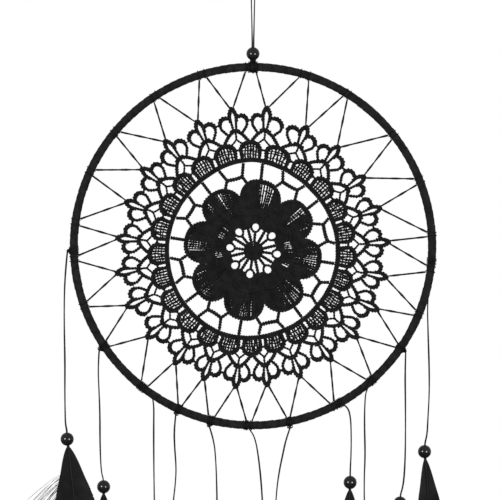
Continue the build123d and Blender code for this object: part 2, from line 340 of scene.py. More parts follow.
def beadMaterial():  # black lacquer over turned wood
    material = bpy.data.materials.new("beadLacquer")
    material.use_nodes = True
    nodes, links = material.node_tree.nodes, material.node_tree.links
    shader = nodes["Principled BSDF"]
    shader.inputs["Roughness"].default_value = lacquerSet["rough"]
    shader.inputs["Specular IOR Level"].default_value = lacquerSet["specular"]
    shader.inputs["Coat Weight"].default_value = lacquerSet["coat"]
    shader.inputs["Coat Roughness"].default_value = lacquerSet["coatRough"]
    place = nodes.new("ShaderNodeTexCoord")
    stretch = nodes.new("ShaderNodeMapping")
    stretch.inputs["Scale"].default_value = (1, 1, lacquerSet["stretch"])
    grain = nodes.new("ShaderNodeTexNoise")
    grain.inputs["Scale"].default_value = lacquerSet["grain"]
    grain.inputs["Detail"].default_value = 3
    ramp = nodes.new("ShaderNodeValToRGB")
    ramp.color_ramp.elements[0].color = (*lacquerSet["dark"], 1)
    ramp.color_ramp.elements[1].color = (*lacquerSet["light"], 1)
    bump = nodes.new("ShaderNodeBump")
    bump.inputs["Strength"].default_value = lacquerSet["bump"]
    bump.inputs["Distance"].default_value = lacquerSet["depth"]
    links.new(place.outputs["Object"], stretch.inputs["Vector"])
    links.new(stretch.outputs["Vector"], grain.inputs["Vector"])
    links.new(grain.outputs["Fac"], ramp.inputs["Fac"])
    links.new(ramp.outputs["Color"], shader.inputs["Base Color"])
    links.new(grain.outputs["Fac"], bump.inputs["Height"])
    links.new(bump.outputs["Normal"], shader.inputs["Normal"])
    return material


wireSet = {"grain": 900, "rough": 0.35, "dark": (0.25, 0.25, 0.26), "light": (0.42, 0.42, 0.43)}


def wireMaterial():
    material = bpy.data.materials.new("drawnWire")
    material.use_nodes = True
    nodes, links = material.node_tree.nodes, material.node_tree.links
    shader = nodes["Principled BSDF"]
    shader.inputs["Metallic"].default_value = 1.0
    grain = nodes.new("ShaderNodeTexNoise")
    place = nodes.new("ShaderNodeTexCoord")
    grain.inputs["Scale"].default_value = wireSet["grain"]
    ramp = nodes.new("ShaderNodeValToRGB")
    ramp.color_ramp.elements[0].color = (*wireSet["dark"], 1)
    ramp.color_ramp.elements[1].color = (*wireSet["light"], 1)
    links.new(place.outputs["Object"], grain.inputs["Vector"])
    links.new(grain.outputs["Fac"], ramp.inputs["Fac"])
    links.new(ramp.outputs["Color"], shader.inputs["Base Color"])
    shader.inputs["Roughness"].default_value = wireSet["rough"]
    return material


placeCamera()
placeStudio()
cottonFinish = fibreMaterial("crochetCotton")
suedeFinish = fibreMaterial("suedeRibbon")
threadFinish = fibreMaterial("waxedThread")
barbFinish = fibreMaterial("featherBarb")
shaftFinish = fibreMaterial("featherShaft")
beadFinish = beadMaterial()
wireObject = frame["nodes"]["hoop_wire"]
wireObject.data.materials.clear()
wireObject.data.materials.append(wireMaterial())
print("camera, studio and materials")


# ---- cords ----

cordSet = {"width": 0.0009, "thickness": 0.00068, "turnsPerMetre": 9.0, "fluff": 1.2, "swell": {1: 0.25}}
# the hanging cord: strands side by side over the bead, spreading to the nail's width higher up
loopSet = {"bend": 0.0018, "strand": 0.00047, "pairLength": 0.0050, "crown": 0.00045, "nearNail": 0.006,
           "foot": 0.00025, "spread": [(0.0008, 0.016), (0.0013, 0.036)], "fluff": 1.1}

# each tail's cord from its knot down to its bead: across and up, in mm
tailRoutes = [
    [(-1.1, -10.8), (-1.9, -25.2), (-2.0, -44.4), (-1.5, -66.0), (-1.6, -86.0), (-1.4, -98.0),
     (-1.2, -104.0), (-0.2, -108.6), (-0.2, -112.9)],
    [(-0.8, -10.8), (-0.2, -24.0), (0.4, -38.4), (0.4, -56.4), (1.1, -73.5), (2.6, -78.4), (2.6, -82.6)],
    [(4.6, -3.4), (7.0, -9.0), (6.8, -25.8), (6.9, -46.8), (7.2, -67.8), (7.4, -88.8), (7.2, -109.8),
     (7.2, -128.0)],
    [(-1.0, -8.8), (-0.7, -19.0), (0.3, -31.6), (-0.2, -41.2), (-1.6, -52.6), (-1.8, -65.0), (-1.8, -75.0)],
    [(2.9, -8.4), (4.1, -21.6), (4.7, -40.8), (4.9, -64.8), (5.0, -88.8), (5.3, -111.0), (5.3, -128.0)],
    [(3.2, -3.0), (5.8, -8.4), (7.5, -18.0), (9.0, -31.2), (10.1, -46.8), (10.6, -67.8), (10.5, -94.8),
     (10.6, -116.0), (10.6, -134.0)],
    [(-2.5, -7.0), (-4.4, -16.0), (-6.7, -26.8), (-8.4, -40.0), (-9.0, -55.0), (-8.7, -72.0),
     (-8.7, -97.0)],
    [(4.8, -1.8), (6.9, -9.0), (7.2, -22.2), (7.0, -33.0), (6.5, -41.0), (6.5, -48.0)],
    [(-3.4, -5.0), (-4.2, -13.4), (-4.4, -26.6), (-3.9, -44.6), (-4.6, -58.4), (-4.4, -77.6),
     (-4.5, -101.6), (-4.2, -125.6), (-4.2, -155.6)],
    [(-0.4, -12.3), (-0.2, -27.9), (-0.1, -45.9), (-0.3, -63.9), (-1.0, -76.0), (-1.9, -81.8),
     (-3.4, -86.6), (-3.4, -90.8)],
    [(-0.6, -11.1), (-2.2, -24.9), (-1.8, -42.3), (-1.1, -62.7), (-1.0, -79.5), (-1.9, -95.1),
     (-2.3, -104.0), (-3.9, -110.2), (-3.9, -114.4)],
]
# where each tail is tied: degrees round the hoop, half the knot's width, side it leaves (0 outer, 90 back)
tailKnots = [(268.6, 1.2, -30), (236.15, 0.8, 30), (218.25, 1.0, 90), (204.6, 0.95, -30), (193.7, 0.7, 30),
             (182.3, 0.75, -90), (168.4, 0.95, 30), (151.1, 0.9, 90), (138.6, 0.75, -90), (124.6, 0.95, -30),
             (94.9, 1.1, 90)]
flatSection = sectionCurve("flatCordSection", cordSet["width"], cordSet["thickness"], 10)


def tailJoint(number):
    return next(j for j in frame["joints"] if j["name"] == f"tail_swing_{number}")


def nurbsCord(name, points, tilts, fluff=1.0, swell=0.0):
    data = newSpool(name, flatSection)
    data.resolution_u = 12
    spline = data.splines.new("NURBS")
    spline.points.add(len(points) - 1)
    for i, (point, place, tilt) in enumerate(zip(spline.points, points, tilts)):
        point.co = (*place, 1)
        point.tilt = tilt
        point.radius = fluff + swell * (i / (len(points) - 1)) ** 2
    spline.order_u = 3
    spline.use_endpoint_u = True
    piece = bpy.data.objects.new(name, data)
    bpy.context.scene.collection.objects.link(piece)
    return piece


tailCords, tailRuns = [], []
for number, route in enumerate(tailRoutes, 1):
    start = Vector(tailJoint(number)["pos_m"])
    points = [start] + [start + Vector((across, 0, up)) * mm for across, up in route]
    tilts = [(start - point).length * cordSet["turnsPerMetre"] * 2 * pi + number for point in points]
    piece = nurbsCord(f"tailCord{number}", points, tilts, cordSet["fluff"], cordSet["swell"].get(number, 0.0))
    finishPiece(piece, f"tail_{number}", threadFinish, "waxed_cord", f"tail_cord_{number}")
    tailCords.append(piece)
    tailRuns.append(points)

beadLow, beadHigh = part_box("hanging_bead")
loopFoot = beadLow[2] + loopSet["foot"]
pairTop = beadHigh[2] + loopSet["pairLength"]
bend, strand, crown = loopSet["bend"], loopSet["strand"], loopSet["crown"]
near = crown - loopSet["nearNail"]
loopHalf = [(strand, loopFoot), (strand, beadHigh[2]), (strand, pairTop)]
loopHalf += [(half, pairTop + rise) for half, rise in loopSet["spread"]] + [(bend, near), (bend, crown)]
loopSide = [Vector((-half, 0, height)) for half, height in loopHalf]
loopPoints = loopSide + [Vector((-p.x, p.y, p.z)) for p in reversed(loopSide)]
loopTilts = [0.3, 0.5, 0.8, 1.6, 2.4, 3.0, 3.14, 3.14, 3.3, 4.0, 5.0, 5.6, 5.9, 6.1]
loop = nurbsCord("hangingCord", loopPoints, loopTilts, loopSet["fluff"])
finishPiece(loop, "hanger", threadFinish, "waxed_cord", "hanging_loop")
print("cords")


# ---- hoop ribbon ----

ribbonSet = {"turns": 150, "width": 0.0066, "stepsPerTurn": 22, "across": 6, "rise": 0.00042,
             "thickness": 0.0004, "wobble": 0.00009, "uneven": 0.08, "cup": 0.0001}


def windRibbon():  # one suede ribbon wound round the wire, each turn lapping the last
    turns = ribbonSet["turns"]
    halfWidth = ribbonSet["width"] / 2 / hoopRadius * 180 / pi
    wobbles = [dice.uniform(-1, 1) for _ in range(turns + 2)]
    bm = bmesh.new()
    bmesh.ops.create_grid(bm, x_segments=turns * ribbonSet["stepsPerTurn"], y_segments=ribbonSet["across"],
                          size=1)
    for vert in bm.verts:
        along = (vert.co.x + 1) / 2 * turns
        side = vert.co.y
        whole = int(along)
        shift = wobbles[whole] + (wobbles[whole + 1] - wobbles[whole]) * (along - whole)
        angle = along * 360 / turns + side * halfWidth * (1 + ribbonSet["uneven"] * shift)
        lift = ribbonSet["wobble"] * shift - ribbonSet["rise"] * (side + 1) / 2
        lift -= ribbonSet["cup"] * side * side
        vert.co = roundTube(angle, lift, along * 360)
    ribbon = fromBmesh(bm, "hoopRibbon")
    wall = ribbon.modifiers.new("wall", "SOLIDIFY")
    wall.thickness = ribbonSet["thickness"]
    wall.offset = 1
    return ribbon


hoopRibbon = windRibbon()
finishPiece(hoopRibbon, "hoop", suedeFinish, "suede", "hoop_wrap")
print("hoop ribbon")


# ---- mandala ----

roundSection = sectionCurve("yarnSection", 0.001, 0.001, 8, 0.17)
# the mandala, in mm from its own middle; roundness sets how full a petal's outline is
laceSet = {"radius": 83.0, "shift": (0.3, -2.8), "ring": 51.6, "roundness": 2.9}
yarnLook = {"step": 0.00036, "twist": 0.0034, "stitch": 0.0015, "bump": 0.10}
bulkLook = {"step": 0.00042, "twist": 0.0036, "stitch": 0.0017, "bump": 0.16}

# each picot: where the lacing pulls it, degrees round the mandala and mm beyond the middling radius
picots = [(5.4, 4.6), (23.3, -1.0), (39.2, -1.1), (56.3, -1.8), (71.3, -1.4), (86.3, -0.3),
          (101.3, -0.2), (115.4, 1.0), (129.8, -0.4), (144.6, -1.1), (159.8, -1.1), (174.2, -0.5),
          (187.5, 0.8), (201.3, 1.0), (215.0, 0.6), (230.8, 0.4), (246.3, 1.5), (260.8, 1.6),
          (275.4, 0.4), (291.0, 0.4), (306.3, 1.6), (321.1, 3.1), (336.3, 3.0), (351.2, 4.5)]
# how the solid ring is drawn out of round: degrees and mm
ringPull = [(0, 54.3), (30, 51.3), (45, 50.4), (90, 50.4), (135, 50.4), (165, 51.0), (180, 51.9), (200, 53.1),
            (225, 52.5), (255, 51.6), (285, 51.6), (315, 51.9), (330, 52.8), (345, 54.0), (360, 54.3)]
# the flower's petal tops and notches in turn: degrees
petalTurns = [5, 30, 51, 76.5, 98, 122, 143, 168.5, 189, 212.5, 232, 257, 278, 302.5, 322, 346]
petalReach = [43.0, 41.2, 41.2, 41.8, 42.3, 42.1, 42.1, 42.7]
petalNotch = [31.9, 31.0, 31.0, 31.6, 31.9, 31.9, 32.2, 32.8]


def lacePoint(angle, radius, depth):
    turn = radians(angle)
    across, up = laceSet["shift"]
    return hoopMiddle + Vector((across + radius * sin(turn), depth, up + radius * cos(turn))) * mm


def ringRadius(angle):
    return float(np.interp(angle % 360, [a for a, _ in ringPull], [r for _, r in ringPull]))


def laceSpot(slot, radius, depth=0.0):  # slot counts picots; 0 is the first one right of the top
    whole = int(slot // 1)
    share = slot - whole
    angle, pull = picots[whole % len(picots)]
    nextAngle, nextPull = picots[(whole + 1) % len(picots)]
    if nextAngle < angle:
        nextAngle += 360
    angle += (nextAngle - angle) * share
    tip = laceSet["radius"] + pull + (nextPull - pull) * share
    ring = ringRadius(angle)
    if radius > laceSet["ring"]:
        radius = ring + (radius - laceSet["ring"]) * (tip - ring) / (laceSet["radius"] - laceSet["ring"])
    else:
        radius *= 1 + (ring / laceSet["ring"] - 1) * (radius / laceSet["ring"]) ** 2
    return lacePoint(angle, radius, depth)


def petalAngle(petal):  # petal counts petal tops; a half is a notch
    step = petal * 2
    whole = int(step // 1)
    count = len(petalTurns)
    a, b = petalTurns[whole % count], petalTurns[(whole + 1) % count]
    return a + ((b - a) % 360) * (step - whole)


def petalEdge(petal):  # the flower's outline: round tops and sharp notches
    top = int((petal + 0.5) // 1)
    off = petal - top
    notch = petalNotch[top % 8] if off > 0 else petalNotch[(top - 1) % 8]
    return petalReach[top % 8] - (petalReach[top % 8] - notch) * abs(2 * off) ** laceSet["roundness"]


def petalSpot(petal, radius, depth=0.0):
    return lacePoint(petalAngle(petal), radius, depth)


def openWork(angle):  # where the small flower's stitches stand apart, degrees
    return any(low < angle % 360 < high for low, high in ((72, 96), (108, 126), (256, 276), (292, 318)))


def crochet(name, lengths, look=yarnLook):  # each length: points, thickness in mm, closed or not
    spool = newSpool(name + "Spool", roundSection)
    for points, thick, closed in lengths:
        layYarn(spool, points, look, closed, thick)
    piece = spoolToMesh(spool, name)
    finishPiece(piece, "hoop", cottonFinish, "crochet_cotton", "lace_doily")
    print(name, len(piece.data.polygons), "faces")


def uneven(amount):
    return dice.uniform(-amount, amount)


def picotLengths(k):
    def spot(angle, radius, depth=0.0):
        return laceSpot(k + angle / 15, radius + uneven(0.16), depth + uneven(0.08))

    lengths = []
    slit = [(-0.7, 69.4), (-0.95, 72.2), (-1.15, 75.2), (-1.1, 78.0), (0, 80.6), (1.1, 78.0), (1.15, 75.2),
            (0.95, 72.2), (0.7, 69.4)]
    lengths.append(([spot(a, r, -0.1) for a, r in slit], 1.6, False))
    leaf = [(-1.3, 74.2), (-1.55, 76.6), (-1.3, 79.3), (0, 82.0), (1.3, 79.3), (1.55, 76.6), (1.3, 74.2)]
    lengths.append(([spot(a, r, -0.25) for a, r in leaf], 2.1, False))
    for side in (-1, 1):
        wall = [(1.8, 76.7), (3.6, 77.0), (5.2, 76.0), (6.1, 74.0), (6.1, 71.8), (5.2, 69.9), (4.2, 68.4),
                (3.3, 67.1)]
        lengths.append(([spot(side * a, r, 0.15) for a, r in wall], 1.8, False))
        cap = [(2.2, 76.8), (3.8, 77.5), (5.3, 76.8), (6.2, 75.1), (6.5, 73.4)]
        lengths.append(([spot(side * a, r, -0.25) for a, r in cap], 2.5, False))
        leg = [(0.8, 68.8), (3.2, 67.0), (5.4, 64.4), (7.0, 62.2)]
        lengths.append(([spot(side * a, r, 0.2) for a, r in leg], 2.2, False))
        fork = [(0, 64.2), (1.6, 62.6), (3.4, 61.2)]
        lengths.append(([spot(side * a, r) for a, r in fork], 1.25, False))
    seat = [(-2.4, 68.5), (-1.2, 69.1), (0, 69.3), (1.2, 69.1), (2.4, 68.5)]
    lengths.append(([spot(a, r, -0.3) for a, r in seat], 2.3, False))
    lengths.append(([spot(a, r, 0.4) for a, r in seat], 1.9, False))
    lengths.append(([spot(0, 68.4), spot(0.2, 66.4), spot(0, 64.0)], 1.35, False))
    if dice.random() < 0.6:
        lengths.append(([spot(6.3, 74.2), spot(7.5, 74.4), spot(8.7, 74.2)], 1.3, False))
    return lengths


fanPosts = 7


def fanLengths(k):
    def spot(angle, radius, depth=0.0):
        return laceSpot(k + 0.5 + angle / 15, radius + uneven(0.12), depth + uneven(0.06))

    rim = [(-5.5, 52.4), (-5.8, 55.6), (-5.9, 58.6), (-3.9, 61.2), (0, 62.4), (3.9, 61.2), (5.9, 58.6),
           (5.8, 55.6), (5.5, 52.4)]
    lengths = [([spot(a, r, -0.25) for a, r in rim], 2.1, False),
               ([spot(a * 0.92, r - 0.9, 0.35) for a, r in rim[1:-1]], 1.7, False)]
    for i in range(fanPosts):
        share = i / (fanPosts - 1) * 2 - 1
        top = 61.3 - 3.2 * share * share
        sway = uneven(0.4)
        line = [spot(share * 5.0, 52.4), spot(share * 5.0 + sway, 55.0), spot(share * 5.0 - sway, 58.0),
                spot(share * 4.7, top)]
        lengths.append((line, 1.3 + uneven(0.12), False))
    for row in (55.3, 57.4, 59.3):
        row += uneven(0.5)
        sag = uneven(0.5) - 0.5
        across = [spot(-4.6, row + sag, 0.3), spot(0, row, 0.3), spot(4.6, row - sag - 1.0, 0.3)]
        lengths.append((across, 0.85, False))
    lengths.append(([spot(5.8, 58.0), spot(9.2, 58.0)], 1.5, False))
    return lengths


def ringLengths():
    lengths = []
    for radius, depth, thick in ((51.2, -0.1, 1.6), (52.1, 0.2, 1.6), (52.8, -0.2, 1.3)):
        circle = [laceSpot(i / 4, radius + uneven(0.1), depth) for i in range(96)]
        lengths.append((circle, thick, True))
    return lengths


def netLengths():
    lengths = []
    for i in range(8):
        def toRing(petal):
            return petalSpot(petal, ringRadius(petalAngle(petal)) - 1.2, uneven(0.1))
        lengths.append(([petalSpot(i + 0.02, petalReach[i] - 0.6, 0.1), toRing(i + 0.02)], 2.0, False))
        node = 44.7 + uneven(0.4)
        left, right = i + 0.36, i + 0.64
        chord = [petalSpot(left - 0.02, node, -0.2), petalSpot(i + 0.5, node - 0.7, -0.2),
                 petalSpot(right + 0.02, node, -0.2)]
        lengths.append((chord, 2.3, False))
        for inner, outer, foot in ((left, left - 0.055, i + 0.28), (right, right + 0.055, i + 0.72)):
            lengths.append(([petalSpot(inner, node, 0.1), toRing(outer)], 1.95, False))
            toPetal = [petalSpot(inner, node, 0.1), petalSpot(foot, petalEdge(foot) - 0.3, 0.1)]
            lengths.append((toPetal, 1.95, False))
    return lengths


# the flower: stitches to a petal, where the two rounds meet in mm, how often a stitch in the gap is loose
petalSet = {"posts": 21, "waist": 29.5, "gaps": (-0.14, 0.0, 0.1), "gapHalf": 0.2, "loose": 0.72, "ties": 12,
            "foot": 23.4, "innerStitches": 14, "innerFoot": 17.2}


def petalPosts():  # tall stitches in two rounds; some stand loose and let light through
    lengths = []
    posts = petalSet["posts"]
    for i in range(8):
        gap, waist = dice.choice(petalSet["gaps"]), petalSet["waist"] + uneven(1.2)
        for j in range(posts):
            off = (j + 0.5) / posts - 0.5
            petal = i + off
            edge = petalEdge(petal)
            loose = abs(off - gap) < petalSet["gapHalf"] and dice.random() < petalSet["loose"]
            thick = dice.uniform(1.04, 1.3) if loose else dice.uniform(1.45, 2.1)
            middle = (waist + edge) / 2 + uneven(1.5)
            outer = [petalSpot(petal, waist - 1.4, uneven(0.1)),
                     petalSpot(petal + uneven(0.007), middle, uneven(0.15) - 0.25),
                     petalSpot(petal, edge - 0.9, uneven(0.1))]
            lengths.append((outer, thick, False))
            low = [petalSpot(petal, petalSet["foot"], uneven(0.1)),
                   petalSpot(petal + uneven(0.006), 26.6, uneven(0.15)),
                   petalSpot(petal, min(waist, edge - 0.8), uneven(0.1))]
            lengths.append((low, 1.02 if loose and j % 3 else 1.9, False))
        for _ in range(petalSet["ties"]):  # short stitches across, which break the slits up
            off, row = gap + uneven(petalSet["gapHalf"]), dice.uniform(27.0, 39.5)
            if row < petalEdge(i + off) - 2:
                tie = [petalSpot(i + off - 0.05, row, 0.4), petalSpot(i + off + 0.05, row + uneven(0.8), 0.4)]
                lengths.append((tie, 1.0, False))
    return lengths


def petalRims():
    lengths = []
    offs = [-0.5, -0.44, -0.36, -0.24, -0.12, 0, 0.12, 0.24, 0.36, 0.44, 0.5]
    for i in range(8):
        lengths.append(([petalSpot(i + o, petalEdge(i + o) - 0.9, -0.45) for o in offs], 1.9, False))
        lengths.append(([petalSpot(i + o, petalEdge(i + o) - 1.9, 0.35) for o in offs], 1.9, False))
        inner = [petalSpot(i + o, 24.8 - 2.4 * abs(2 * o) ** 2.4, -0.75) for o in offs]
        lengths.append((inner, 1.8, False))
        for j in range(petalSet["innerStitches"]):
            off = (j + 0.5) / petalSet["innerStitches"] - 0.5
            top = 24.4 - 2.4 * abs(2 * off) ** 2.4
            thick = 0.95 if openWork(petalAngle(i + off)) and dice.random() < 0.8 else 1.6
            stitch = [petalSpot(i + off, petalSet["innerFoot"], -0.1),
                      petalSpot(i + off + uneven(0.008), 20.8, -0.3), petalSpot(i + off, top, -0.7)]
            lengths.append((stitch, thick, False))
    return lengths


# the middle, in mm: the button's rounds, where its bars run, the round eyes and the rounds about them
heartSet = {"button": (0.6, 1.7, 2.9, 4.1, 5.2), "eyeBar": 11.8, "midBar": 14.2, "eyeAt": 14.2,
            "eyeAcross": 2.6, "eyeUp": 2.9, "arches": ((14.4, 10.5), (15.6, 9.5), (16.9, 5.5)),
            "closed": (18.0, 23.9), "open": (19.4, 20.8, 22.2, 23.0)}


def heartLengths():
    lengths = []
    for radius in heartSet["button"]:
        thick = 1.6 if radius in (heartSet["button"][0], heartSet["button"][-1]) else 1.7
        lengths.append(([lacePoint(i * 30, radius, uneven(0.12)) for i in range(12)], thick, True))
    rim, eyeAt, midBar = heartSet["button"][-1], heartSet["eyeAt"], heartSet["midBar"]
    for i in range(8):  # a bar to each round eye and a longer one between two eyes
        eye, between = petalAngle(i), petalAngle(i + 0.5)
        lengths.append(([lacePoint(eye, rim, 0), lacePoint(eye, heartSet["eyeBar"], -0.1)], 1.75, False))
        lengths.append(([lacePoint(between, rim, 0), lacePoint(between, midBar, -0.1)], 1.9, False))
        ring = []
        for j in range(12):
            turn = radians(j * 30)
            across = degrees(heartSet["eyeAcross"] * sin(turn) / eyeAt)
            ring.append(lacePoint(eye + across, eyeAt + heartSet["eyeUp"] * cos(turn), -0.1))
        lengths.append((ring, 1.5, True))
        gap = (petalAngle(i + 1) - eye) % 360
        for radius, off in heartSet["arches"]:
            stops = (eye + off, eye + gap / 2, eye + gap - off)
            lengths.append(([lacePoint(stop, radius + uneven(0.1), 0.2) for stop in stops], 1.9, False))
    for radius in heartSet["closed"]:
        circle = [lacePoint(i * 15, radius + uneven(0.15), 0.5) for i in range(24)]
        lengths.append((circle, 1.8, True))
    for radius in heartSet["open"]:  # rounds that stop where the work stands open
        for turn in range(0, 360, 12):
            if not openWork(turn + 6):
                arc = [lacePoint(turn + 6 + step, radius + uneven(0.15), 0.5) for step in (-8, 0, 8)]
                lengths.append((arc, 1.9, False))
    for first, start, last, end in ((262, 21.6, 290, 21.0), (82, 20.6, 112, 22.0)):  # two threads across
        lengths.append(([lacePoint(first, start, 0.5), lacePoint(last, end, 0.5)], 1.0, False))
    return lengths


crochet("laceHeart", heartLengths())
crochet("lacePetals", petalPosts(), bulkLook)
crochet("lacePetalRims", petalRims(), bulkLook)
crochet("laceNet", netLengths() + ringLengths())
crochet("laceFans", [length for k in range(len(picots)) for length in fanLengths(k)])
crochet("lacePicots", [length for k in range(len(picots)) for length in picotLengths(k)])


# ---- lacing ----

# the pairs of thread ends round the hoop, degrees; each picot hangs between one pair and the next
hoopEnds = [(-2.5, 1.0), (15.2, 18.6), (30.9, 32.7), (50.6, 52.5), (67.3, 69.5), (85.4, 86.9), (96.3, 98.5),
            (111.4, 113.3), (123.9, 125.4), (137.5, 139.7), (152.4, 154.0), (167.7, 168.9), (180.3, 182.2),
            (192.6, 194.8), (204.0, 205.4), (216.8, 219.7), (235.0, 237.3), (249.7, 251.7), (265.0, 267.0),
            (276.7, 279.0), (293.6, 295.9), (308.8, 310.8), (325.5, 327.9), (342.1, 344.7)]
lacingSet = {"size": 1.2, "wrapSize": 0.7, "lift": 0.00012, "front": 0.9, "holdIn": 1.3, "deepest": 2.6}
threadSection = sectionCurve("threadSection", 0.00105, 0.0008, 8)
threadLook = {"step": 0.0007, "twist": 0.017, "stitch": 0.012, "bump": 0.12}
windLook = {"step": 0.0005, "twist": 0.5, "stitch": 0.004, "bump": 0.05}


def hoopTurns(first, last, turns, lift, start=0.0):  # thread going round the tube from one angle to the other
    points = []
    stops = int(turns * 12)
    for i in range(stops + 1):
        share = i / stops
        points.append(roundTube(first + (last - first) * share, lift, start + share * turns * 360))
    return points


def laceHoop():
    spool = newSpool("lacingSpool", threadSection)
    count = len(picots)
    for k, (angle, pull) in enumerate(picots):
        leave, arrive = hoopEnds[k][1], hoopEnds[(k + 1) % count][0]
        tip = laceSet["radius"] + pull
        front = -lacingSet["front"] if k % 2 else lacingSet["front"]
        hold = tip - lacingSet["holdIn"]
        start, end = roundTube(leave, lacingSet["lift"], 0), roundTube(arrive, lacingSet["lift"], 0)
        catch = [lacePoint(angle - 0.5, hold, front), lacePoint(angle, tip - lacingSet["deepest"], 0),
                 lacePoint(angle + 0.5, hold, -front)]
        first = [start.lerp(catch[0], share) for share in (0.12, 0.5, 0.88)]
        second = [catch[2].lerp(end, share) for share in (0.12, 0.5, 0.88)]
        layYarn(spool, [start] + first + catch + second + [end], threadLook, False, lacingSet["size"])
        a, b = hoopEnds[k]
        layYarn(spool, hoopTurns(a, a + 0.5, 1, lacingSet["lift"]), windLook, False, lacingSet["wrapSize"])
        layYarn(spool, hoopTurns(b - 0.5, b, 1, lacingSet["lift"]), windLook, False, lacingSet["wrapSize"])
    return spoolToMesh(spool, "lacingThread")


lacingThread = laceHoop()
finishPiece(lacingThread, "hoop", threadFinish, "waxed_thread", "lacing_thread")
print("lacing")


# ---- knots ----

knotSet = {"thread": 0.72, "lift": 0.00022, "pitch": 0.0008, "size": 0.00062, "seatLift": 0.0004, "stub": 1.5}
cordSection = sectionCurve("windingSection", 0.0009, 0.0006, 8)


def overhand(middle, size, tilt):  # a small tight knot
    points = []
    for i in range(16):
        t = 2 * pi * i / 16
        reach = 1.5 + cos(3 * t)
        points.append(middle + Matrix.Rotation(tilt, 3, "Y") @ Vector((
            size * reach * cos(2 * t), size * 0.9 * sin(3 * t), size * reach * sin(2 * t))))
    return points


def tieTail(number):
    angle, half, side = tailKnots[number - 1]
    spool = newSpool(f"knotSpool{number}", cordSection)
    turns = max(2, int(2 * radians(half) * hoopRadius / knotSet["pitch"]))
    winding = hoopTurns(angle - half, angle + half, turns, knotSet["lift"])
    layYarn(spool, winding, windLook, False, knotSet["thread"])
    start = Vector(tailJoint(number)["pos_m"])
    seat = roundTube(angle, knotSet["seatLift"], 180 - side)
    layYarn(spool, overhand(seat, knotSet["size"], dice.uniform(0, 3)), windLook, True, 1.0)
    layYarn(spool, [seat, seat.lerp(start, 0.5), start], windLook, False, knotSet["stub"])
    piece = spoolToMesh(spool, f"tailKnot{number}")
    finishPiece(piece, "hoop", threadFinish, "waxed_thread", f"tail_knot_{number}")


for number in range(1, tailCount + 1):
    tieTail(number)

hangerSet = {"turns": 7, "half": 0.0028, "lift": 0.0005, "size": 1.05, "overLift": 0.0011,
             "neckRadius": 0.0015, "neckTurns": 3, "neckSize": 1.15, "coreSize": 1.8, "sink": 0.0004,
             "intoBead": 0.0003}


def tieHanger():
    spool = newSpool("hangerSpool", cordSection)
    half = hangerSet["half"] / hoopRadius * 180 / pi
    lashing = hoopTurns(-half, half, hangerSet["turns"], hangerSet["lift"])
    layYarn(spool, lashing, windLook, False, hangerSet["size"])
    layYarn(spool, hoopTurns(half * 0.7, -half * 0.5, 1.5, hangerSet["overLift"], 60), windLook)
    low = hoopMiddle.z + hoopRadius + tubeRadius - hangerSet["sink"]
    high = beadLow[2] + hangerSet["intoBead"]
    neck = []
    stops = 30
    for i in range(stops + 1):
        share = i / stops
        turn = share * hangerSet["neckTurns"] * 2 * pi
        reach = hangerSet["neckRadius"]
        neck.append(Vector((reach * cos(turn), reach * sin(turn), low + (high - low) * share)))
    layYarn(spool, neck, windLook, False, hangerSet["neckSize"])
    layYarn(spool, [Vector((0, 0, low - mm)), Vector((0, 0, high))], windLook, False, hangerSet["coreSize"])
    return spoolToMesh(spool, "hangerKnot")


hangerKnot = tieHanger()
finishPiece(hangerKnot, "lashing", threadFinish, "waxed_cord", "hanger_knot")
print("knots")


# ---- beads ----

beadSet = {"radius": 0.004, "bore": 0.0011, "height": 0.0076, "flat": 0.0016, "steps": 48, "arcSteps": 18,
           "lip": 0.00025}


def turnBead(name, low, high):  # turned on a lathe: a round profile and its bore, spun about the bore
    middle = (Vector(low) + Vector(high)) / 2
    top = beadSet["height"] / 2
    radius, bore, lip = beadSet["radius"], beadSet["bore"], beadSet["lip"]
    edge = atan2(top - lip * 0.3, beadSet["flat"])
    turns = [edge * (2 * i / beadSet["arcSteps"] - 1) for i in range(beadSet["arcSteps"] + 1)]
    profile = [(radius * cos(turn), radius * sin(turn)) for turn in turns]
    profile += [(bore + lip, top), (bore, top - lip), (bore, lip - top), (bore + lip, -top)]
    bm = bmesh.new()
    verts = [bm.verts.new(middle + Vector((r, 0, z))) for r, z in profile]
    edges = [bm.edges.new((a, b)) for a, b in zip(verts, verts[1:] + verts[:1])]
    bmesh.ops.spin(bm, geom=verts + edges, cent=middle, axis=(0, 0, 1), angle=2 * pi, steps=beadSet["steps"],
                   use_merge=True)
    bmesh.ops.remove_doubles(bm, verts=bm.verts, dist=1e-6)
    bmesh.ops.recalc_face_normals(bm, faces=bm.faces)
    return fromBmesh(bm, name)


topBead = turnBead("topBead", *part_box("hanging_bead"))
finishPiece(topBead, "lashing", beadFinish, "bead_wood", "hanging_bead")
for number in range(1, tailCount + 1):
    tailBead = turnBead(f"tailBead{number}", *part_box(f"tail_bead_{number}"))
    finishPiece(tailBead, f"tail_{number}", beadFinish, "bead_wood", f"tail_bead_{number}")
print("beads")


# ---- feathers ----

featherSet = {"barbs": 150, "segments": 12, "lean": 0.15, "bow": 0.0022, "camber": 0.0012, "camberAt": 0.016,
              "rootShare": 0.75, "tipShare": 0.62, "louvre": 0.00009, "quill": 0.0043, "kink": 0.04,
              "drift": 0.003, "drifts": {1: 0.006, 11: 0.004}, "splits": 3, "wisps": 14, "strays": {1: 52}}
